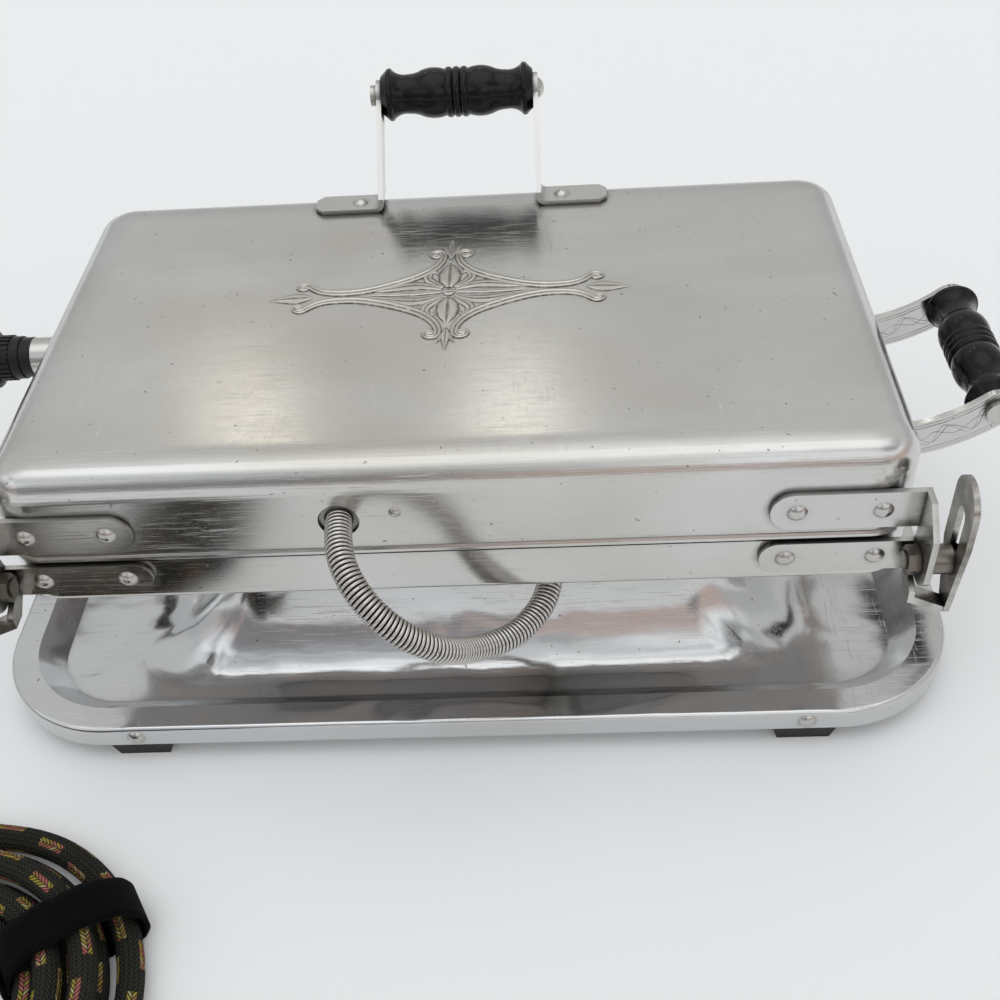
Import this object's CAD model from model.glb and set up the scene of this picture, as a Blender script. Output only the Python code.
from math import cos, pi, radians, sin, sqrt

import bmesh
import bpy
from mathutils import Matrix, Vector


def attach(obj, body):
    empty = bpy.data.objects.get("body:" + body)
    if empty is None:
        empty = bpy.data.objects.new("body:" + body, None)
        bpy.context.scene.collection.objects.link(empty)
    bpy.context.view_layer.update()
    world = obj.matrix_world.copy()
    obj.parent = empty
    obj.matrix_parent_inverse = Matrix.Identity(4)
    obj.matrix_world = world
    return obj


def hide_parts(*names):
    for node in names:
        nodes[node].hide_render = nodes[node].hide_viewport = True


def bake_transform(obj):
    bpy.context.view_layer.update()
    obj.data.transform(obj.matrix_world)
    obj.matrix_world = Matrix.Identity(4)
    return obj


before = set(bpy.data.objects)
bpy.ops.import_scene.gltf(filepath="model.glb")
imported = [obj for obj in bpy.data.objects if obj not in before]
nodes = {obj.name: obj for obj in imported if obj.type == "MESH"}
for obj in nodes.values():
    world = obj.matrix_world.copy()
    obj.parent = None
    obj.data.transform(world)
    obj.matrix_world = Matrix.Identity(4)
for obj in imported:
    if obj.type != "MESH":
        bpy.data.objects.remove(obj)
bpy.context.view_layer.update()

# Middle of the casings in the frame, in millimetres, as in the part's source
MIDDLE_X = -9.950
MIDDLE_Y = 3.747


def spot(x, y, z):
    """A point given in millimetres from the middle of the casings, in the frame's metres."""
    return Vector(((x + MIDDLE_X) / 1000, (y + MIDDLE_Y) / 1000, z / 1000))


def mm(size):
    return size / 1000


# Camera, solved from the edges of the casings, tray and straps
FOCAL_PIXELS = 1238.1
FRAME_PIXELS = 1000
SENSOR_WIDTH = 36
eye = spot(37.8, -380.8, 379.8)
pitch, yaw, roll = 0.744, -0.069, 0.081
ahead = Vector((sin(yaw) * cos(pitch), cos(yaw) * cos(pitch), -sin(pitch)))
right = Vector((cos(yaw), -sin(yaw), 0))
down = ahead.cross(right)
frame_right = right * cos(roll) + down * sin(roll)
frame_down = down * cos(roll) - right * sin(roll)
camera_data = bpy.data.cameras.new("camera")
camera_data.sensor_width = SENSOR_WIDTH
camera_data.lens = FOCAL_PIXELS * SENSOR_WIDTH / FRAME_PIXELS
camera_data.clip_start = 0.01
camera = bpy.data.objects.new("camera", camera_data)
bpy.context.scene.collection.objects.link(camera)
turned = Matrix((frame_right, -frame_down, -ahead)).transposed().to_4x4()
camera.matrix_world = Matrix.Translation(eye) @ turned
bpy.context.scene.camera = camera


# Making meshes and curves
def added(name, mesh, *materials):
    obj = bpy.data.objects.new(name, mesh)
    for material in materials:
        mesh.materials.append(material)
    bpy.context.scene.collection.objects.link(obj)
    return obj


def from_bmesh(name, bm, *materials, smooth=True):
    bmesh.ops.recalc_face_normals(bm, faces=bm.faces)
    mesh = bpy.data.meshes.new(name)
    for face in bm.faces:
        face.smooth = smooth
    bm.to_mesh(mesh)
    bm.free()
    return added(name, mesh, *materials)


def spline_curve(name, points, resolution=8):
    """A smooth open line with these control points."""
    curve = bpy.data.curves.new(name, "CURVE")
    curve.dimensions = "3D"
    curve.resolution_u = resolution
    line = curve.splines.new("NURBS")
    line.points.add(len(points) - 1)
    for point, place in zip(line.points, points):
        point.co = (*place, 1)
    line.order_u = 3
    line.use_endpoint_u = True
    return curve


def spline_points(name, points, resolution=8):
    """The points along a smooth line, read from its spline."""
    curve = spline_curve(name, points, resolution)
    holder = bpy.data.objects.new(name, curve)
    bpy.context.scene.collection.objects.link(holder)
    mesh = bpy.data.meshes.new_from_object(holder)
    found = [vertex.co.copy() for vertex in mesh.vertices]
    bpy.data.objects.remove(holder)
    bpy.data.meshes.remove(mesh)
    return found


def carried_sides(points):
    """Directions along a line, and a side carried along it without twist."""
    ways = []
    for before, after in zip([points[0]] + points[:-1], points[1:] + [points[-1]]):
        ways.append((after - before).normalized())
    side = ways[0].orthogonal().normalized()
    sides = []
    for way in ways:
        side = (side - way * side.dot(way)).normalized()
        sides.append(side)
    return ways, sides


def tube(name, points, radius, sides_round, *materials, swell=None):
    """A closed tube along points, with its own map: across round it, up along it in metres."""
    ways, sides = carried_sides(points)
    bm = bmesh.new()
    across = bm.loops.layers.uv.new("UVMap")
    ring = bmesh.ops.create_circle(bm, segments=sides_round, radius=1.0)["verts"]
    first = [vertex.co.copy() for vertex in ring]
    along = 0.0
    rows = []
    edges = list(bm.edges)
    for index, place in enumerate(points):
        if index:
            along += (place - points[index - 1]).length
            made = bmesh.ops.extrude_edge_only(bm, edges=edges)["geom"]
            ring = [part for part in made if isinstance(part, bmesh.types.BMVert)]
            edges = [part for part in made if isinstance(part, bmesh.types.BMEdge)]
        other = ways[index].cross(sides[index])
        grow = radius * (swell(along) if swell else 1.0)
        for vertex, corner in zip(ring, first):
            vertex.co = place + (sides[index] * corner.x + other * corner.y) * grow
        rows.append((ring, along))
    heights = {}
    for ring, height in rows:
        for order, vertex in enumerate(ring):
            heights[vertex] = (order / sides_round, height)
    for face in bm.faces:
        turns = [heights[loop.vert][0] for loop in face.loops]
        for loop, turn in zip(face.loops, turns):
            if max(turns) - min(turns) > 0.5 and turn < 0.5:
                turn += 1.0
            loop[across].uv = (turn, heights[loop.vert][1])
    for ring, _ in (rows[0], rows[-1]):
        bmesh.ops.contextual_create(bm, geom=ring)
    return from_bmesh(name, bm, *materials)


# Shading: a small kit for node materials
class Nodes:
    """A node tree being made: its nodes are added in order and joined by name."""

    def __init__(self, tree):
        self.tree = tree

    def node(self, kind, **settings):
        made = self.tree.nodes.new(kind)
        for key, value in settings.items():
            setattr(made, key, value)
        return made

    def join(self, source, target):
        self.tree.links.new(source, target)

    def place(self, scale=(1, 1, 1), turn=(0, 0, 0), shift=(0, 0, 0), own_map=False):
        """Coordinates on the piece, scaled and turned."""
        start = self.node("ShaderNodeTexCoord")
        mapping = self.node("ShaderNodeMapping")
        mapping.inputs["Scale"].default_value = scale
        mapping.inputs["Rotation"].default_value = turn
        mapping.inputs["Location"].default_value = shift
        self.join(start.outputs["UV" if own_map else "Object"], mapping.inputs["Vector"])
        return mapping.outputs["Vector"]

    def noise(self, where, scale, detail=4.0, roughness=0.6, distortion=0.0):
        made = self.node("ShaderNodeTexNoise")
        made.inputs["Scale"].default_value = scale
        made.inputs["Detail"].default_value = detail
        made.inputs["Roughness"].default_value = roughness
        made.inputs["Distortion"].default_value = distortion
        self.join(where, made.inputs["Vector"])
        return made.outputs["Fac"]

    def steps(self, value, *stops):
        """A colour ramp: stops are (place, colour) or (place, grey)."""
        ramp = self.node("ShaderNodeValToRGB")
        ramp.color_ramp.elements.remove(ramp.color_ramp.elements[-1])
        for index, (at, colour) in enumerate(stops):
            element = ramp.color_ramp.elements[0] if index == 0 else ramp.color_ramp.elements.new(at)
            element.position = at
            element.color = (colour,) * 3 + (1,) if isinstance(colour, (int, float)) else (*colour, 1)
        self.join(value, ramp.inputs["Fac"])
        return ramp.outputs["Color"]

    def sum(self, first, second, how="ADD"):
        made = self.node("ShaderNodeMath", operation=how)
        for socket, value in zip(made.inputs, (first, second)):
            if isinstance(value, (int, float)):
                socket.default_value = value
            else:
                self.join(value, socket)
        return made.outputs["Value"]

    def near(self, where, centre, reach):
        """One at a point of the piece, fading to nothing at this distance from it."""
        away = self.node("ShaderNodeVectorMath", operation="DISTANCE")
        self.join(where, away.inputs[0])
        away.inputs[1].default_value = centre
        return self.steps(self.sum(away.outputs["Value"], 1 / reach, "MULTIPLY"), (0.0, 1.0), (1.0, 0.0))

    def line(self, value, width):
        """One where the value is nothing, fading out over this width to either side."""
        away = self.sum(self.sum(value, 0.0, "ABSOLUTE"), 1 / width, "MULTIPLY")
        return self.steps(away, (0.0, 1.0), (0.45, 0.9), (1.0, 0.0))

    def mix(self, share, first, second, how="MIX"):
        made = self.node("ShaderNodeMix", data_type="RGBA", blend_type=how)
        for socket, value in ((made.inputs[0], share), (made.inputs[6], first), (made.inputs[7], second)):
            if isinstance(value, (int, float)):
                socket.default_value = value
            elif isinstance(value, tuple):
                socket.default_value = (*value, 1)
            else:
                self.join(value, socket)
        return made.outputs[2]


class Shade(Nodes):
    """One material being made on a principled shader."""

    def __init__(self, name, **settings):
        self.material = bpy.data.materials.new(name)
        self.material.use_nodes = True
        super().__init__(self.material.node_tree)
        self.shader = self.tree.nodes["Principled BSDF"]
        for socket, value in settings.items():
            self.shader.inputs[socket.replace("_", " ")].default_value = value

    def set(self, socket, value):
        self.join(value, self.shader.inputs[socket])

    def bump(self, height, strength, distance, over=None):
        made = self.node("ShaderNodeBump")
        made.inputs["Strength"].default_value = strength
        made.inputs["Distance"].default_value = distance
        self.join(height, made.inputs["Height"])
        if over is not None:
            self.join(over, made.inputs["Normal"])
        self.join(made.outputs["Normal"], self.shader.inputs["Normal"])

    def lean(self, height):
        """The lean that a height given in metres gives the surface."""
        made = self.node("ShaderNodeBump")
        made.inputs["Strength"].default_value = 1.0
        made.inputs["Distance"].default_value = 1.0
        self.join(height, made.inputs["Height"])
        return made.outputs["Normal"]


def nickel(name, colour, brush, gloss, stain, scratches=0.5, grime=0.003, form=None, cover=None):
    """Nickel plate: brushing along X, cloudy tarnish, fine scratches, pits, and grime in the corners."""
    shade = Shade(name, Metallic=1.0)
    fine = shade.noise(shade.place((6, 260, 260)), 9.0, 5.0, 0.75)
    broad = shade.noise(shade.place((3, 40, 40)), 4.0, 4.0, 0.6)
    cloud = shade.noise(shade.place((1, 1.8, 1.8)), 9.0, 3.0, 0.55, 0.4)
    grain = shade.noise(shade.place(), 420.0, 2.0, 0.5)
    pits = shade.steps(shade.noise(shade.place(), 480.0, 2.0, 0.4), (0.0, 1.0), (0.22, 1.0), (0.26, 0.0))
    corners = shade.node("ShaderNodeAmbientOcclusion", samples=4)
    corners.inputs["Distance"].default_value = grime
    # Grime gathers where little light comes in, and the broad noise breaks its edge
    broken = shade.sum(shade.sum(broad, 0.5, "MULTIPLY"), 0.75)
    dirt = shade.sum(shade.sum(1.0, corners.outputs["AO"], "SUBTRACT"), broken, "MULTIPLY")
    dirt = shade.steps(dirt, (0.20, 0.0), (0.36, 0.95))
    rough = shade.sum(shade.sum(fine, 0.07 * brush, "MULTIPLY"), gloss)
    rough = shade.sum(rough, shade.sum(broad, 0.04 * brush, "MULTIPLY"))
    rough = shade.sum(rough, shade.sum(cloud, 0.05, "MULTIPLY"))
    shade.set("Roughness", shade.sum(rough, shade.sum(dirt, 0.4, "MULTIPLY")))
    dull = tuple(part * share for part, share in zip(colour, (0.84, 0.80, 0.74)))
    tint = shade.mix(shade.steps(cloud, (0.40, 0.0), (0.72, stain)), colour, dull)
    tint = shade.mix(shade.steps(fine, (0.2, 0.25), (0.6, 0.0)), tint, tuple(part * 0.82 for part in colour))
    tint = shade.mix(shade.sum(pits, 0.6, "MULTIPLY"), tint, (0.09, 0.075, 0.06))
    sunk = 0.0
    if cover:
        tint, sunk = cover(shade, tint)
    shade.set("Base Color", shade.mix(dirt, tint, (0.030, 0.027, 0.023)))
    worn = shade.steps(cloud, (0.42, 0.25), (0.62, 1.0))
    marks = shade.noise(shade.place((9, 900, 900), (0, 0, 0.5)), 5.0, 2.0, 0.5)
    marks = shade.steps(marks, (0.0, 0.0), (0.64, 0.0), (0.70, 1.0))
    others = shade.noise(shade.place((700, 14, 700), (0, 0, -0.7)), 4.0, 2.0, 0.5)
    others = shade.steps(others, (0.0, 0.0), (0.66, 0.0), (0.72, 1.0))
    cuts = shade.sum(shade.sum(shade.sum(marks, others), worn, "MULTIPLY"), scratches, "MULTIPLY")
    height = shade.sum(shade.sum(fine, 0.6 * brush, "MULTIPLY"), shade.sum(grain, 0.15, "MULTIPLY"))
    height = shade.sum(height, cuts, "SUBTRACT")
    height = shade.sum(height, shade.sum(pits, 0.8, "MULTIPLY"), "SUBTRACT")
    height = shade.sum(height, sunk, "SUBTRACT")
    shade.bump(height, 0.22, 0.00012, form(shade) if form else None)
    return shade.material


def across(shade):
    """The piece's X, Y and Z, in metres, one by one."""
    parts = shade.node("ShaderNodeSeparateXYZ")
    shade.join(shade.place(), parts.inputs["Vector"])
    return parts.outputs["X"], parts.outputs["Y"], parts.outputs["Z"]


# Half the lid's length and depth, in metres
LID_HALF_X, LID_HALF_Y = 0.1525, 0.0903


def lid_form(shade):
    """The soft pressing of the lid: its sides roll off early, and its top has faint dents."""
    x, y, _ = across(shade)
    x = shade.sum(shade.sum(x, -mm(MIDDLE_X)), 0.0, "ABSOLUTE")
    y = shade.sum(y, -mm(MIDDLE_Y))
    dents = shade.noise(shade.place(), 14.0, 1.0, 0.4)
    height = shade.sum(dents, 0.0003, "MULTIPLY")
    for edge, slope, reach in (
        (shade.sum(y, LID_HALF_Y), 0.40, 0.019),
        (shade.sum(LID_HALF_Y, y, "SUBTRACT"), 0.22, 0.016),
        (shade.sum(LID_HALF_X, x, "SUBTRACT"), 0.30, 0.018),
    ):
        inside = shade.sum(shade.sum(1.0, shade.sum(edge, 1 / reach, "MULTIPLY"), "SUBTRACT"), 0.0, "MAXIMUM")
        fall = shade.sum(shade.sum(inside, inside, "MULTIPLY"), slope * reach / 2, "MULTIPLY")
        height = shade.sum(height, fall, "SUBTRACT")
    return shade.lean(height)


def lid_cover(shade, tint):
    """Heat stain in the middle of the lid and rust by the corner at the right strap."""
    where = shade.place()
    ragged = shade.noise(where, 330.0, 4.0, 0.7)
    rust = shade.near(where, spot(142, -89, 113.5), 0.009)
    rust = shade.sum(rust, shade.steps(ragged, (0.42, 0.0), (0.60, 1.0)), "MULTIPLY")
    tint = shade.mix(shade.sum(rust, 0.8, "MULTIPLY"), tint, (0.16, 0.065, 0.028))
    for place, reach, share in (
        ((-40, -20, 124), 0.07, 0.16),
        ((60, -45, 124), 0.06, 0.12),
        ((-100, 0, 124), 0.03, 0.22),
    ):
        warm = shade.sum(shade.near(where, spot(*place), reach), share, "MULTIPLY")
        tint = shade.mix(warm, tint, (0.50, 0.42, 0.32))
    return tint, 0.0


def base_cover(shade, tint):
    """The underside of the lower casing, dulled brown and grey by heat."""
    _, _, z = across(shade)
    # The casing's floor ends at 71.6 mm; ramps end at one, so heights are counted in tenths of a metre
    under = shade.steps(shade.sum(z, 10.0, "MULTIPLY"), (0.0, 1.0), (0.716, 1.0), (0.722, 0.0))
    shade.set("Metallic", shade.sum(1.0, shade.sum(under, 0.85, "MULTIPLY"), "SUBTRACT"))
    cloudy = shade.noise(shade.place(), 24.0, 4.0, 0.6)
    burnt = shade.mix(shade.steps(cloudy, (0.35, 0.0), (0.65, 1.0)), (0.66, 0.66, 0.67), (0.80, 0.70, 0.64))
    return shade.mix(under, tint, burnt), 0.0


def hinge_cover(shade, tint):
    """Dark tarnish on the hinge pieces where they stand out past the casings."""
    x, _, _ = across(shade)
    out = shade.sum(shade.sum(x, -mm(MIDDLE_X)), 0.0, "ABSOLUTE")
    # From 151 to 157 mm out; ramps end at one, so the distance is counted in fifths of a metre
    out = shade.steps(shade.sum(out, 5.0, "MULTIPLY"), (0.0, 0.0), (0.755, 0.0), (0.785, 1.0))
    cloudy = shade.steps(shade.noise(shade.place(), 85.0, 5.0, 0.65), (0.36, 0.15), (0.62, 0.9))
    return shade.mix(shade.sum(out, cloudy, "MULTIPLY"), tint, (0.17, 0.155, 0.14)), 0.0


def tray_form(shade):
    """The slight waviness of the pressed tray and pedestal."""
    waves = shade.noise(shade.place((1, 1.6, 1.6)), 17.0, 2.0, 0.5, 0.5)
    return shade.lean(shade.sum(waves, 0.0020, "MULTIPLY"))


def arm_cover(shade, tint):
    """Engraving on the carrying arms: two border lines on each side and a winding leaf between them."""
    x, _, z = across(shade)
    wobble = shade.sum(shade.noise(shade.place(), 260.0, 2.0, 0.5), 0.5, "SUBTRACT")
    x = shade.sum(x, -mm(MIDDLE_X + ARM_ROOT_X))
    z = shade.sum(mm(ARM_ROOT_Z + ARM_BOW), z, "SUBTRACT")
    from_bow = shade.sum(shade.sum(shade.sum(x, x, "MULTIPLY"), shade.sum(z, z, "MULTIPLY")), 0.5, "POWER")
    off = shade.sum(from_bow, mm(ARM_BOW), "SUBTRACT")
    off = shade.sum(off, shade.sum(wobble, 0.0005, "MULTIPLY"))
    along = shade.sum(shade.sum(x, z, "ARCTAN2"), 2 * pi * ARM_BOW / 15.0, "MULTIPLY")
    aside = shade.sum(off, 0.0, "ABSOLUTE")
    lines = shade.line(shade.sum(aside, 0.0061, "SUBTRACT"), 0.00022)
    lines = shade.sum(lines, shade.line(shade.sum(aside, 0.0049, "SUBTRACT"), 0.00028))
    for swing, start, width in ((0.0026, 0.0, 0.0003), (0.0034, 0.7, 0.0002), (0.0014, 2.3, 0.0002)):
        wave = shade.sum(shade.sum(shade.sum(along, start), 0.0, "SINE"), swing, "MULTIPLY")
        wave = shade.sum(wave, shade.sum(wobble, 0.002, "MULTIPLY"))
        lines = shade.sum(lines, shade.line(shade.sum(off, wave, "SUBTRACT"), width))
    lines = shade.sum(lines, 1.0, "MINIMUM")
    faint = shade.steps(shade.noise(shade.place(), 90.0, 2.0, 0.5), (0.3, 0.35), (0.6, 1.0))
    lines = shade.sum(lines, faint, "MULTIPLY")
    tint = shade.mix(shade.sum(lines, 0.85, "MULTIPLY"), tint, (0.10, 0.09, 0.08))
    return tint, shade.sum(lines, 1.6, "MULTIPLY")


def enamel(name, colour, gloss, turned=(1, 1, 1)):
    """Black enamel over turned wood: faint marks of the turning tool and rubbed spots."""
    shade = Shade(name, Specular_IOR_Level=0.28)
    peel = shade.noise(shade.place(turned), 160.0, 2.0, 0.5)
    worn = shade.noise(shade.place(), 42.0, 5.0, 0.65)
    shade.set("Roughness", shade.sum(shade.sum(worn, 0.22, "MULTIPLY"), gloss))
    rubbed = shade.steps(worn, (0.62, 0.0), (0.84, 0.5))
    shade.set("Base Color", shade.mix(rubbed, colour, (0.030, 0.026, 0.023)))
    shade.bump(peel, 0.22, 0.0002)
    return shade.material


def plain(name, colour, rough, scale=120.0, metallic=0.0, spread=0.3, depth=0.0002):
    """A quiet finish with some mottling: castings, board, fibre, brass."""
    shade = Shade(name, Metallic=metallic)
    mottle = shade.noise(shade.place(), scale, 5.0, 0.6)
    dark = tuple(part * (1 - spread) for part in colour)
    shade.set("Base Color", shade.mix(shade.steps(mottle, (0.3, 0.0), (0.7, 1.0)), colour, dark))
    shade.set("Roughness", shade.sum(shade.sum(mottle, 0.25, "MULTIPLY"), rough - 0.12))
    shade.bump(mottle, 0.35, depth)
    return shade.material


def braid(name):
    """Herringbone braid over the cord: slanting yarns in columns, with patches of coloured yarn."""
    shade = Shade(name, Roughness=0.9, Specular_IOR_Level=0.2)
    columns, pitch, period = 16.0, 1 / 0.00160, 1 / 0.046
    split = shade.node("ShaderNodeSeparateXYZ")
    shade.join(shade.place(own_map=True), split.inputs["Vector"])
    around = shade.sum(split.outputs["X"], columns, "MULTIPLY")
    along = split.outputs["Y"]
    column = shade.sum(around, 0.0, "FLOOR")
    within = shade.sum(around, 1.0, "FLOORED_MODULO")
    lean = shade.sum(shade.sum(shade.sum(column, 2.0, "FLOORED_MODULO"), 2.0, "MULTIPLY"), 1.0, "SUBTRACT")
    slant = shade.sum(shade.sum(within, 0.5, "SUBTRACT"), 1.35, "MULTIPLY")
    row = shade.sum(shade.sum(along, pitch, "MULTIPLY"), shade.sum(slant, lean, "MULTIPLY"))
    yarn = shade.sum(row, 1.0, "FLOORED_MODULO")
    rounded = shade.sum(shade.sum(yarn, pi, "MULTIPLY"), 0.0, "SINE")
    edge = shade.sum(shade.sum(within, pi, "MULTIPLY"), 0.0, "SINE")
    height = shade.sum(rounded, shade.sum(edge, 0.5, "POWER"), "MULTIPLY")
    lint = shade.noise(shade.place((60, 900, 1), own_map=True), 3.0, 3.0, 0.6)
    base = shade.mix(height, (0.0040, 0.0040, 0.0034), (0.040, 0.041, 0.031))
    base = shade.mix(shade.steps(lint, (0.45, 0.0), (0.8, 0.4)), base, (0.085, 0.085, 0.066))
    pair = shade.sum(shade.sum(around, 0.5, "MULTIPLY"), 0.0, "FLOOR")
    offset = shade.sum(shade.sum(pair, 0.618, "MULTIPLY"), 1.0, "FLOORED_MODULO")
    place = shade.sum(shade.sum(along, period, "MULTIPLY"), offset)
    patch = shade.steps(shade.sum(place, 1.0, "FLOORED_MODULO"), (0.0, 1.0), (0.21, 1.0), (0.215, 0.0))
    mixed = shade.node("ShaderNodeCombineXYZ")
    shade.join(shade.sum(row, 0.0, "FLOOR"), mixed.inputs["X"])
    shade.join(column, mixed.inputs["Y"])
    chance = shade.node("ShaderNodeTexWhiteNoise", noise_dimensions="3D")
    shade.join(mixed.outputs["Vector"], chance.inputs["Vector"])
    yellow, straw, pink, tan = (0.52, 0.43, 0.07), (0.66, 0.56, 0.26), (0.62, 0.20, 0.17), (0.46, 0.24, 0.10)
    ramp = shade.node("ShaderNodeValToRGB")
    ramp.color_ramp.interpolation = "CONSTANT"
    for index, (at, colour) in enumerate(((0.0, yellow), (0.34, pink), (0.62, tan), (0.84, straw))):
        element = ramp.color_ramp.elements[index] if index < 2 else ramp.color_ramp.elements.new(at)
        element.position = at
        element.color = (*colour, 1)
    shade.join(chance.outputs["Value"], ramp.inputs["Fac"])
    bright = shade.mix(height, (0.02, 0.015, 0.01), ramp.outputs["Color"])
    shade.set("Base Color", shade.mix(shade.sum(patch, 0.92, "MULTIPLY"), base, bright))
    shade.bump(height, 1.0, 0.0007)
    return shade.material


def plush(name, colour):
    """Hook and loop tape: a short fuzzy pile."""
    shade = Shade(name, Roughness=1.0, Specular_IOR_Level=0.1, Sheen_Weight=0.02, Sheen_Roughness=0.5)
    pile = shade.noise(shade.place(), 900.0, 4.0, 0.8)
    tufts = shade.noise(shade.place(), 220.0, 3.0, 0.6)
    light = tuple(part * 2.6 for part in colour)
    shade.set("Base Color", shade.mix(shade.steps(pile, (0.4, 0.0), (0.8, 1.0)), colour, light))
    shade.bump(shade.sum(pile, tufts), 0.9, 0.0006)
    return shade.material


# Where the carrying arms leave the casing, how far they reach and rise, and their curve's radius
ARM_ROOT_X, ARM_ROOT_Z, ARM_OUT, ARM_RISE = 152.5, 81.5, 40.0, 14.5
ARM_BOW = (ARM_OUT**2 + ARM_RISE**2) / (2 * ARM_RISE)

nickel_lid = nickel("nickel_lid", (0.665, 0.665, 0.65), 1.35, 0.08, 0.8, 1.5, form=lid_form, cover=lid_cover)
nickel_base = nickel("nickel_base", (0.68, 0.68, 0.665), 0.8, 0.05, 0.7, 0.5, cover=base_cover)
nickel_tray = nickel("nickel_tray", (0.66, 0.67, 0.675), 0.6, 0.06, 0.5, 0.7, form=tray_form)
nickel_fitting = nickel("nickel_fitting", (0.64, 0.635, 0.62), 0.6, 0.12, 0.7)
nickel_arm = nickel("nickel_arm", (0.64, 0.635, 0.62), 0.5, 0.14, 0.6, cover=arm_cover)
hinge_steel = nickel("hinge_steel", (0.64, 0.635, 0.62), 0.8, 0.12, 0.9, 0.8, grime=0.004, cover=hinge_cover)
dark_steel = nickel("dark_steel", (0.24, 0.225, 0.20), 0.5, 0.22, 0.9, grime=0.003)
steel = nickel("steel", (0.58, 0.57, 0.55), 0.6, 0.16, 0.9, grime=0.002)
spring_steel = nickel("spring_steel", (0.68, 0.665, 0.64), 0.2, 0.16, 0.6, 0.2, grime=0.0008)
black_grip = enamel("black_grip", (0.003, 0.003, 0.003), 0.06, (3.2, 0.7, 0.7))
side_black = enamel("side_black", (0.003, 0.003, 0.003), 0.06, (0.7, 3.2, 0.7))
plug_black = enamel("plug_black", (0.012, 0.011, 0.010), 0.25)
foot_fibre = plain("foot_fibre", (0.02, 0.018, 0.016), 0.6)
grid_iron = plain("grid_iron", (0.045, 0.042, 0.04), 0.5, 300.0, 0.6)
board = plain("board", (0.50, 0.45, 0.36), 0.7)
brass = plain("brass", (0.55, 0.42, 0.2), 0.35, 200.0, 1.0)
cord_braid = braid("cord_braid")
wire_cloth = plain("wire_cloth", (0.012, 0.011, 0.01), 0.9)
tie_pile = plush("tie_pile", (0.0016, 0.0016, 0.0018))

finishes = {
    nickel_lid: ["lid_shell"],
    nickel_base: ["lower_casing"],
    nickel_tray: ["tray", "pedestal"],
    nickel_fitting: [
        "handle_post_left", "handle_post_right", "lid_ferrule", "base_ferrule", "inlet_guard",
    ],
    nickel_arm: ["carrying_arm_front", "carrying_arm_rear"],
    hinge_steel: [
        "hinge_bracket_left", "hinge_bracket_right", "lid_strap_left", "lid_strap_right",
    ],
    dark_steel: ["pivot_bolts", "pivot_nuts", "pivot_collars"],
    steel: [
        "lower_strap_rivets", "upper_strap_rivets", "foot_screws", "handle_rivets", "arm_rivets",
        "lid_handle_rod", "carrying_rod", "tie_bolts", "lower_grid_screws", "upper_grid_screws",
        "lid_terminal_rivet", "upper_grid_brackets", "lower_element", "upper_element", "lower_heat_shield",
        "upper_heat_shield",
    ],
    spring_steel: ["spring_conduit"],
    black_grip: ["lid_grip"],
    side_black: ["side_grip"],
    plug_black: ["appliance_plug", "plug_ribbed_ring", "plug_strain_relief", "wall_plug"],
    foot_fibre: ["tray_feet"],
    grid_iron: ["lower_grid", "upper_grid"],
    board: ["lower_mica", "upper_mica", "inlet_insulator", "lid_terminal_block"],
    brass: ["inlet_pins", "wall_plug_blades"],
    cord_braid: ["cord_lead", "cord_coil", "cord_tail"],
}
for finish, names in finishes.items():
    for name in names:
        nodes[name].data.materials.clear()
        nodes[name].data.materials.append(finish)

# Cord: from the plug's strain relief to the coil, round it and out to the wall plug
CORD_RADIUS = 4.5
COIL_X, COIL_Y = -170.0, -210.0
COIL_Z, COIL_RISE = 6.0, 10.4
COIL_START, COIL_PITCH = 68.5, 11.2
LOW_HALVES, HIGH_HALVES = 6, 4
RELIEF_END, PLUG_Y, PLUG_Z, FLOOR_Z = 255.0, 43.0, 80.5, 4.6
# The coil winds in by half turns on the floor, climbs in one half turn and winds out on top
coil_end = COIL_START + (HIGH_HALVES - LOW_HALVES) * COIL_PITCH / 2
top_z = COIL_Z + COIL_RISE
lead = [
    (-RELIEF_END, PLUG_Y, PLUG_Z),
    (-RELIEF_END - 19.0, PLUG_Y, PLUG_Z),
    (-RELIEF_END - 36.0, PLUG_Y - 2.0, PLUG_Z - 9.0),
    (-RELIEF_END - 46.0, PLUG_Y - 6.0, PLUG_Z - 26.0),
    (-RELIEF_END - 49.0, PLUG_Y - 13.0, PLUG_Z - 45.0),
    (-RELIEF_END - 48.0, PLUG_Y - 25.0, PLUG_Z - 63.0),
    (-RELIEF_END - 45.0, PLUG_Y - 45.0, FLOOR_Z + 1.5),
    (-RELIEF_END - 40.0, PLUG_Y - 70.0, FLOOR_Z),
    (-RELIEF_END - 31.0, PLUG_Y - 97.0, FLOOR_Z),
    (-272.0, -82.0, FLOOR_Z),
    (-252.0, -107.0, FLOOR_Z),
    (-224.0, -129.0, FLOOR_Z + 0.3),
    (-198.0, COIL_Y + COIL_START, COIL_Z),
]
turns = []
steps_a_half = 8
last_step = (LOW_HALVES + 1 + HIGH_HALVES) * steps_a_half
for step in range(last_step + 1):
    halves = step / steps_a_half
    inward = min(halves, LOW_HALVES)
    outward = max(halves - LOW_HALVES - 1, 0)
    climb = min(max(halves - LOW_HALVES, 0), 1)
    reach = COIL_START + (outward - inward) * COIL_PITCH / 2
    reach /= cos(pi / steps_a_half / 2) if 0 < step < last_step else 1
    angle = pi / 2 - pi * halves
    turns.append((COIL_X + reach * cos(angle), COIL_Y + reach * sin(angle), COIL_Z + COIL_RISE * climb))
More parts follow.
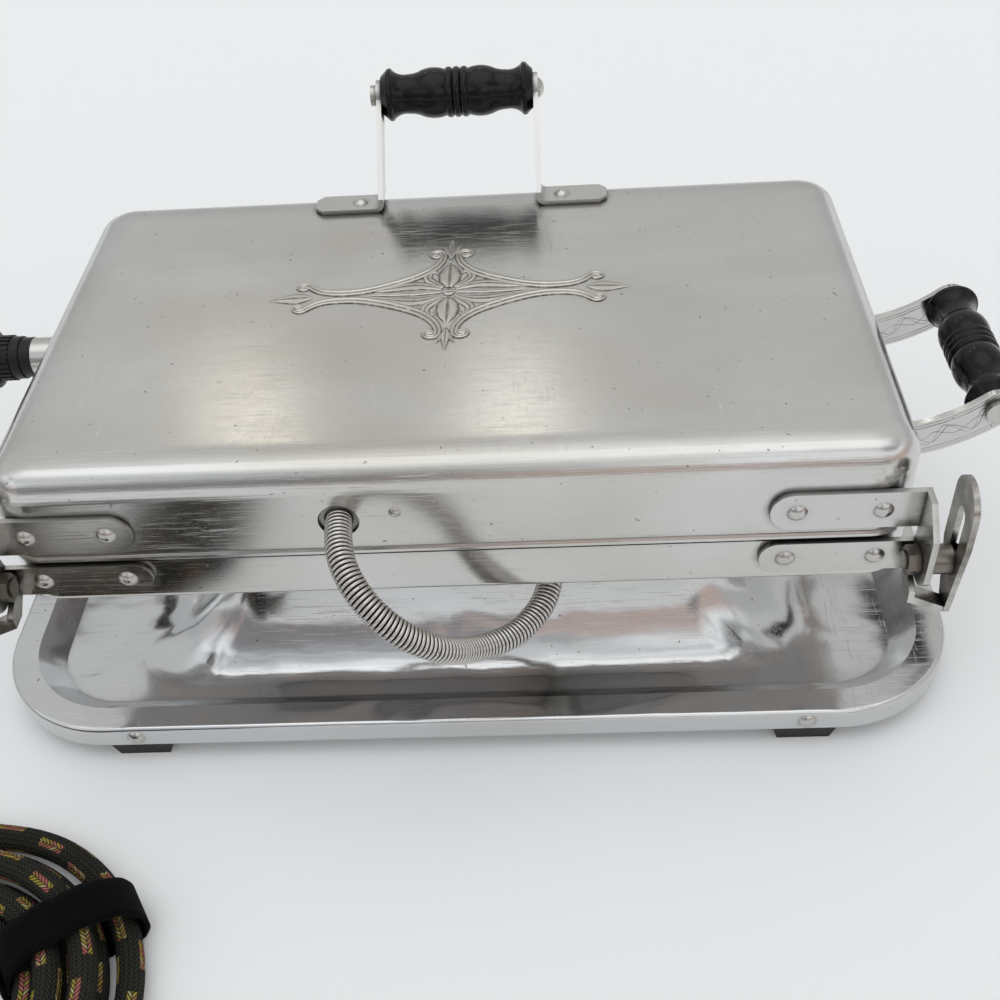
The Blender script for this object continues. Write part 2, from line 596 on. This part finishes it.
tail = [
    (COIL_X - 18.0, COIL_Y - coil_end, top_z),
    (COIL_X - 36.0, COIL_Y - coil_end + 1.0, top_z - 1.0),
    (COIL_X - 54.0, COIL_Y - coil_end + 6.0, COIL_Z + 5.5),
    (COIL_X - 68.0, COIL_Y - coil_end + 18.0, COIL_Z + 3.0),
    (COIL_X - 77.0, COIL_Y - coil_end + 18.0 + 9.0 * sqrt(3), COIL_Z + 3.0),
]
route = [spot(*point) for point in lead + turns + tail]
cord_line = spline_points("cord_line", route, 6)
cord = tube("braided_cord", cord_line, mm(CORD_RADIUS), 16, cord_braid)
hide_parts("cord_lead", "cord_coil", "cord_tail")
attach(cord, "base")

# Tie: a strip of hook and loop tape round all the turns, its end lapped over its start
TIE_WIDTH, TIE_SHEET, TIE_ANGLE = 15.5, 1.3, radians(32)
tie_outward = Vector((cos(TIE_ANGLE), sin(TIE_ANGLE), 0))
tie_across = Vector((-sin(TIE_ANGLE), cos(TIE_ANGLE), 0))
# The loop's section, out from the coil's middle and up, in millimetres
tie_loop = [
    (27.4, 9), (28.6, 17), (35, 22.8), (50, 24.6), (64.5, 22.6), (73.2, 15), (74.6, 7), (72, 0.9), (62, 0.8),
    (50, 0.8), (37, 0.8), (30, 0.9), (26, 4.5), (25.4, 10), (26.4, 15), (24.4, 19.5),
]
tie_line = [
    spot(COIL_X, COIL_Y, 0) + mm(point.x) * tie_outward + Vector((0, 0, mm(point.z)))
    for point in spline_points("tie_line", [Vector((out, 0, up)) for out, up in tie_loop], 6)
]
bm = bmesh.new()
bmesh.ops.create_grid(bm, x_segments=6, y_segments=len(tie_line) - 1, size=1)
for vertex in bm.verts:
    step = round((vertex.co.y + 1) / 2 * (len(tie_line) - 1))
    ripple = 0.25 * sin(step * 0.9 + vertex.co.x * 2)
    vertex.co = tie_line[step] + tie_across * mm(vertex.co.x * TIE_WIDTH / 2 + ripple)
bmesh.ops.recalc_face_normals(bm, faces=bm.faces)
bmesh.ops.solidify(bm, geom=bm.faces[:] + bm.edges[:] + bm.verts[:], thickness=mm(TIE_SHEET))
tie = from_bmesh("tie_strap", bm, tie_pile)
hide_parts("cord_tie")
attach(tie, "base")

# Armoured lead: one wire wound along the solid's route, over cloth-covered wires
CONDUIT_RADIUS = 4.6
WIRE_RADIUS = 0.68
CURLS = 104
STEPS_A_CURL = 20
SPLIT = 0.42
conduit = [
    (-35.4, -84.0, 104.8),
    (-35.4, -101.7, 104.8),
    (-28.3, -116.6, 98.4),
    (-16.3, -124.2, 87.8),
    (-2.9, -121.8, 75.3),
    (5.6, -110.9, 62.7),
    (20.3, -100.6, 57.5),
    (31.6, -85.8, 59.4),
    (33.0, -67.8, 63.0),
    (33.0, -52.5, 63.0),
]
middle_line = spline_points("conduit_line", [spot(*point) for point in conduit], 40)
middle_ways, middle_sides = carried_sides(middle_line)
lengths = [0.0]
for before, after in zip(middle_line, middle_line[1:]):
    lengths.append(lengths[-1] + (after - before).length)


def wound(share):
    """A point on the wire at this share of the route's length."""
    target = share * lengths[-1]
    index = 0
    while index < len(lengths) - 2 and lengths[index + 1] < target:
        index += 1
    part = (target - lengths[index]) / (lengths[index + 1] - lengths[index])
    place = middle_line[index].lerp(middle_line[index + 1], part)
    way = middle_ways[index].lerp(middle_ways[index + 1], part).normalized()
    side = middle_sides[index].lerp(middle_sides[index + 1], part)
    side = (side - way * side.dot(way)).normalized()
    angle = 2 * pi * CURLS * share
    out = side * cos(angle) + way.cross(side) * sin(angle)
    return place + out * mm(CONDUIT_RADIUS - WIRE_RADIUS)


for place, low, high in (("upper", 0.0, SPLIT), ("lower", SPLIT, 1.0)):
    first = int(low * CURLS * STEPS_A_CURL)
    last = int(high * CURLS * STEPS_A_CURL)
    wire = [wound(step / (CURLS * STEPS_A_CURL)) for step in range(first, last + 1)]
    spring = tube("spring_" + place, wire, mm(WIRE_RADIUS), 8, spring_steel)
    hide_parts("spring_conduit")
    inside = [
        middle_line[index]
        for index, length in enumerate(lengths)
        if low - 0.001 <= length / lengths[-1] <= high + 0.001
    ]
    wires = tube("lead_wires_" + place, inside, mm(CONDUIT_RADIUS - 1.6 * WIRE_RADIUS), 14, wire_cloth)
    for piece in (spring, wires):
        if place == "upper":
            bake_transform(piece)
        else:
            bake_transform(piece)

# Pressed ornament on the lid: mouldings with curled ends, leaves, petals and small domes
ORNAMENT_X, ORNAMENT_Y, LID_TOP = -2.2, 11.6, 124.2
RELIEF = 0.65
relief_mesh = bmesh.new()
relief_mesh.loops.layers.uv.new("UVMap")


def relief(points, widths, rise, grooved=False, cells=12):
    """A raised band along points of the lid's plan, its own map across it from edge to edge."""
    line = spline_points("relief_line", [Vector((x, y, 0)) for x, y in points], 10)
    lengths = [0.0]
    for before, after in zip(line, line[1:]):
        lengths.append(lengths[-1] + (after - before).length)
    bm = bmesh.new()
    across = bm.loops.layers.uv.new("UVMap")
    bmesh.ops.create_grid(bm, x_segments=cells, y_segments=len(line) - 1, size=1)
    bm.verts.ensure_lookup_table()
    where = {}
    for index, vertex in enumerate(bm.verts):
        share = (vertex.co.x + 1) / 2
        step = round((vertex.co.y + 1) / 2 * (len(line) - 1))
        before, after = line[max(step - 1, 0)], line[min(step + 1, len(line) - 1)]
        way = (after - before).normalized()
        travelled = lengths[step] / lengths[-1]
        spread = travelled * (len(widths) - 1)
        part = min(int(spread), len(widths) - 2)
        width = widths[part] + (widths[part + 1] - widths[part]) * (spread - part)
        out = 2 * share - 1
        crown = sqrt(max(1 - out * out, 0))
        if grooved:
            crown = min(crown * 1.15, 1) * (0.35 + 0.65 * min(abs(out) / 0.32, 1))
        else:
            crown *= 0.62 + 0.38 * min(abs(out) / 0.2, 1)
        fall = min(width / (0.45 * max(widths)), 1)
        point = line[step] + Vector((-way.y, way.x, 0)) * out * width / 2
        where[vertex] = (share, travelled)
        vertex.co = spot(ORNAMENT_X + point.x, ORNAMENT_Y + point.y, LID_TOP - 0.06 + rise * crown * fall)
    for face in bm.faces:
        for loop in face.loops:
            loop[across].uv = where[loop.vert]
    bmesh.ops.recalc_face_normals(bm, faces=bm.faces)
    if sum(face.normal.z for face in bm.faces) < 0:
        bmesh.ops.reverse_faces(bm, faces=bm.faces)
    holder = bpy.data.meshes.new("relief")
    bm.to_mesh(holder)
    bm.free()
    relief_mesh.from_mesh(holder)
    bpy.data.meshes.remove(holder)


side_line = [
    (5.6, 24.6), (7.6, 25.2), (7.7, 27.8), (4.6, 29.0), (2.6, 26.2), (3.7, 20.8), (6.6, 16.2), (11.5, 11.9),
    (19.0, 7.9), (27.5, 4.4), (35.0, 2.5), (43.0, 2.4), (48.5, 3.6), (52.2, 6.4), (54.6, 9.2), (57.3, 8.2),
    (57.2, 5.8), (55.0, 5.6),
]
side_widths = (2.0, 3.0, 4.0, 4.6, 4.8, 4.8, 4.6, 4.2, 3.4, 2.0)
acanthus = [(2.6, 2.0), (8.0, 5.0), (15.0, 5.4), (22.0, 3.7), (29.0, 2.2)]
lobe = [(2.0, 3.4), (6.0, 6.4), (8.8, 10.2), (7.6, 14.0), (4.9, 14.6), (4.6, 12.4)]
for flip_x in (-1, 1):
    for flip_y in (-1, 1):
        def turned_to(points):
            return [(x * flip_x, y * flip_y) for x, y in points]
        relief(turned_to(side_line), side_widths, RELIEF, grooved=True, cells=16)
        relief(turned_to(acanthus), (1.6, 5.4, 6.4, 4.2, 0.5), RELIEF * 0.9)
        relief(turned_to(lobe), (1.4, 4.0, 4.6, 4.0, 2.6, 1.2), RELIEF * 0.8)
        for x, y, size in ((5.9, 25.4, 4.2), (55.4, 6.5, 4.4), (14.5, 10.2, 2.2), (19.0, 7.6, 1.8)):
            dome = [(x - size / 2, y), (x - size / 6, y), (x + size / 6, y), (x + size / 2, y)]
            relief(turned_to(dome), (0.1, 0.8 * size, size, 0.8 * size, 0.1), RELIEF)
    relief(
        [(flip_x * 51.5, 0), (flip_x * 57, 0), (flip_x * 63, -0.6), (flip_x * 69.3, -0.9)],
        (1.2, 6.4, 7.8, 5.2, 2.2, 0.2), RELIEF,
    )
    petal = [(0, flip_x * out) for out in (3.2, 9, 15, 20.5)]
    relief(petal, (2.5, 8.4, 9.6, 7.0, 0.6), RELIEF)
    tip = [(0, flip_x * out) for out in (23, 28, 33, 37.5)]
    relief(tip, (1.0, 3.8, 3.4, 1.8, 0.2), RELIEF)
    rib = [(flip_x * out, 0) for out in (3, 12, 22, 31)]
    relief(rib, (1.2, 3.0, 2.4, 0.4), RELIEF * 0.8)
    for side in (-1, 1):
        leaflet = [(side * out, flip_x * up) for out, up in ((0, 24.5), (1.6, 28), (2.6, 31), (3.6, 32.5))]
        relief(leaflet, (0.6, 1.9, 1.7, 0.3), RELIEF * 0.8)
relief([(-2.6, 0), (-1.0, 0), (1.0, 0), (2.6, 0)], (0.2, 4.4, 5.2, 4.4, 0.2), RELIEF)


def relief_finish(name):
    """Nickel relief with dark patina along the edges and in the groove."""
    shade = Shade(name, Metallic=1.0)
    split = shade.node("ShaderNodeSeparateXYZ")
    shade.join(shade.place(own_map=True), split.inputs["Vector"])
    out = shade.sum(shade.sum(split.outputs["X"], 0.5, "SUBTRACT"), 0.0, "ABSOLUTE")
    rim = shade.steps(out, (0.0, 0.8), (0.04, 0.7), (0.09, 0.0), (0.34, 0.0), (0.44, 0.9), (0.5, 1.0))
    broken = shade.steps(shade.noise(shade.place(), 420.0, 4.0, 0.7), (0.30, 0.35), (0.58, 1.0))
    tint = shade.mix(shade.sum(rim, broken, "MULTIPLY"), (0.60, 0.575, 0.53), (0.060, 0.048, 0.036))
    shade.set("Base Color", tint)
    shade.set("Roughness", shade.sum(shade.sum(rim, 0.30, "MULTIPLY"), 0.26))
    shade.bump(shade.noise(shade.place(), 900.0, 3.0, 0.6), 0.3, 0.0001)
    return shade.material


ornament_mesh = bpy.data.meshes.new("lid_ornament")
for face in relief_mesh.faces:
    face.smooth = True
relief_mesh.to_mesh(ornament_mesh)
relief_mesh.free()
ornament = added("lid_ornament", ornament_mesh, relief_finish("relief_nickel"))
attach(ornament, "lid")

# Surroundings: a pale floor that glows a little to the camera and in the metal
backdrop = Shade("backdrop", Roughness=0.9)
backdrop.shader.inputs["Base Color"].default_value = (0.90, 0.905, 0.905, 1)
backdrop.shader.inputs["Specular IOR Level"].default_value = 0.1
backdrop.shader.inputs["Emission Color"].default_value = (0.95, 1.0, 1.0, 1)
seen = backdrop.node("ShaderNodeLightPath")
seen = backdrop.sum(seen.outputs["Is Camera Ray"], seen.outputs["Is Glossy Ray"])
backdrop.set("Emission Strength", backdrop.sum(seen, 0.05, "MULTIPLY"))
bm = bmesh.new()
bmesh.ops.create_grid(bm, x_segments=1, y_segments=1, size=4)
floor = from_bmesh("floor", bm, backdrop.material)


# Two small warm lamps, this many metres from the lid
LAMP_AWAY = 1.6
LAMP_COLOUR = (1.0, 0.94, 0.83)


def soft_lamp(name, glow, size, strength):
    """A warm lamp that the lid's flat top mirrors at this spot."""
    ray = (glow - eye).normalized()
    way = ray.reflect(Vector((0, 0, 1)))
    lamp = bpy.data.lights.new(name, "AREA")
    lamp.shape = "ELLIPSE"
    lamp.size, lamp.size_y = size
    lamp.energy = strength * pi * pi / 4 * size[0] * size[1]
    lamp.color = LAMP_COLOUR
    holder = bpy.data.objects.new(name, lamp)
    bpy.context.scene.collection.objects.link(holder)
    holder.location = glow + way * LAMP_AWAY
    holder.rotation_euler = (-way).to_track_quat("-Z", "Y").to_euler()


soft_lamp("left_lamp", spot(-63, -70, LID_TOP), (0.10, 0.10), 4.2)
soft_lamp("right_lamp", spot(23, -72, LID_TOP), (0.09, 0.10), 4.4)

# Room that lights the scene and that the metal mirrors: uneven behind the camera, even beyond, bright above
world = bpy.data.worlds.new("room")
world.use_nodes = True
bpy.context.scene.world = world
room = Nodes(world.node_tree)
background = world.node_tree.nodes["Background"]
direction = room.node("ShaderNodeTexCoord").outputs["Generated"]
parts = room.node("ShaderNodeSeparateXYZ")
room.join(direction, parts.inputs["Vector"])
up = parts.outputs["Z"]
blotches = room.noise(direction, 1.9, 2.0, 0.5, 0.6)
behind = room.mix(room.steps(blotches, (0.38, 0.0), (0.60, 1.0)), (0.36, 0.37, 0.39), (1.12, 1.15, 1.18))
low = room.mix(room.steps(blotches, (0.42, 0.0), (0.56, 1.0)), (0.29, 0.28, 0.29), (0.62, 0.50, 0.46))
behind = room.mix(room.steps(up, (0.22, 0.0), (0.40, 1.0)), low, behind)
beyond = room.mix(room.steps(up, (0.30, 0.0), (0.52, 1.0)), (0.54, 0.55, 0.56), (0.66, 0.665, 0.66))
side = room.sum(room.sum(parts.outputs["Y"], 0.5, "MULTIPLY"), 0.5)
around = room.mix(room.steps(side, (0.38, 0.0), (0.62, 1.0)), behind, beyond)
room.join(
    room.mix(room.steps(up, (0.80, 0.0), (0.92, 1.0)), around, (1.33, 1.35, 1.37)), background.inputs["Color"]
)
background.inputs["Strength"].default_value = 1.0
bpy.context.scene.view_settings.view_transform = "Standard"
